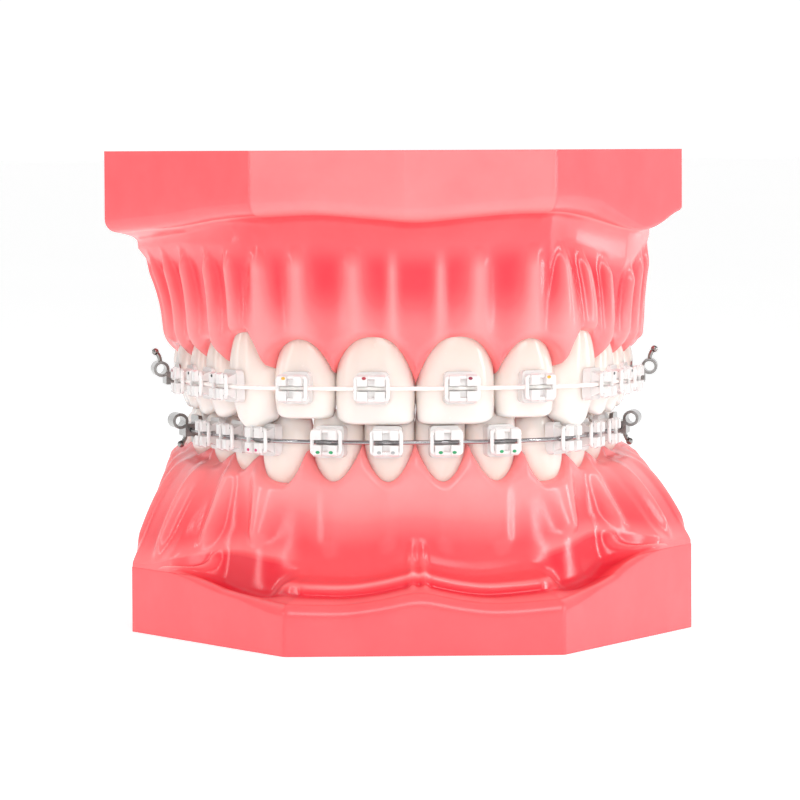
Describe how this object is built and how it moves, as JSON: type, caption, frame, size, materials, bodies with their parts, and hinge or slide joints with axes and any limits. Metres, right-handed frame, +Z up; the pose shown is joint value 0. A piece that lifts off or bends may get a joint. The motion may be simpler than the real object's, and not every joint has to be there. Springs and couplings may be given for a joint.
{
  "type": "orthodontic demonstration model",
  "caption": "Trimmed upper and lower jaw casts in bite, with teeth, clear tie-wing brackets, elastic rings, arch wires and molar tubes, for showing how fixed braces work.",
  "frame": {"origin": "under the middle of the whole model, on the lower cast's underside", "axes": "+Z up, the front teeth face -Y, +X to the right of a viewer who faces the front teeth"},
  "size_m": [0.066, 0.057, 0.054],
  "materials": {
    "gum_resin": "polished salmon pink resin",
    "tooth_resin": "ivory, satin gloss",
    "clear_ceramic": "clear, polished",
    "clear_elastic": "clear elastic",
    "upper_wire": "tooth coloured coating",
    "lower_wire": "drawn steel",
    "tube_steel": "polished steel"
  },
  "bodies": {
    "root": {"upper_gum_base": "gum_resin", "upper_archwire": "upper_wire", "upper_ligatures": "clear_elastic", "upper_right_central_incisor": "tooth_resin", "upper_right_lateral_incisor": "tooth_resin", "upper_right_canine": "tooth_resin", "upper_right_first_premolar": "tooth_resin", "upper_right_second_premolar": "tooth_resin", "upper_right_first_molar": "tooth_resin", "upper_right_second_molar": "tooth_resin", "bracket_upper_right_central_incisor": "clear_ceramic", "bracket_upper_right_lateral_incisor": "clear_ceramic", "bracket_upper_right_canine": "clear_ceramic", "bracket_upper_right_first_premolar": "clear_ceramic", "bracket_upper_right_second_premolar": "clear_ceramic", "molar_tube_upper_right": "tube_steel", "upper_left_central_incisor": "tooth_resin", "upper_left_lateral_incisor": "tooth_resin", "upper_left_canine": "tooth_resin", "upper_left_first_premolar": "tooth_resin", "upper_left_second_premolar": "tooth_resin", "upper_left_first_molar": "tooth_resin", "upper_left_second_molar": "tooth_resin", "bracket_upper_left_central_incisor": "clear_ceramic", "bracket_upper_left_lateral_incisor": "clear_ceramic", "bracket_upper_left_canine": "clear_ceramic", "bracket_upper_left_first_premolar": "clear_ceramic", "bracket_upper_left_second_premolar": "clear_ceramic", "molar_tube_upper_left": "tube_steel", "lower_gum_base": "gum_resin", "lower_archwire": "lower_wire", "lower_ligatures": "clear_elastic", "lower_right_central_incisor": "tooth_resin", "lower_right_lateral_incisor": "tooth_resin", "lower_right_canine": "tooth_resin", "lower_right_first_premolar": "tooth_resin", "lower_right_second_premolar": "tooth_resin", "lower_right_first_molar": "tooth_resin", "lower_right_second_molar": "tooth_resin", "bracket_lower_right_central_incisor": "clear_ceramic", "bracket_lower_right_lateral_incisor": "clear_ceramic", "bracket_lower_right_canine": "clear_ceramic", "bracket_lower_right_first_premolar": "clear_ceramic", "bracket_lower_right_second_premolar": "clear_ceramic", "molar_tube_lower_right": "tube_steel", "lower_left_central_incisor": "tooth_resin", "lower_left_lateral_incisor": "tooth_resin", "lower_left_canine": "tooth_resin", "lower_left_first_premolar": "tooth_resin", "lower_left_second_premolar": "tooth_resin", "lower_left_first_molar": "tooth_resin", "lower_left_second_molar": "tooth_resin", "bracket_lower_left_central_incisor": "clear_ceramic", "bracket_lower_left_lateral_incisor": "clear_ceramic", "bracket_lower_left_canine": "clear_ceramic", "bracket_lower_left_first_premolar": "clear_ceramic", "bracket_lower_left_second_premolar": "clear_ceramic", "molar_tube_lower_left": "tube_steel"}
  },
  "joints": []
}
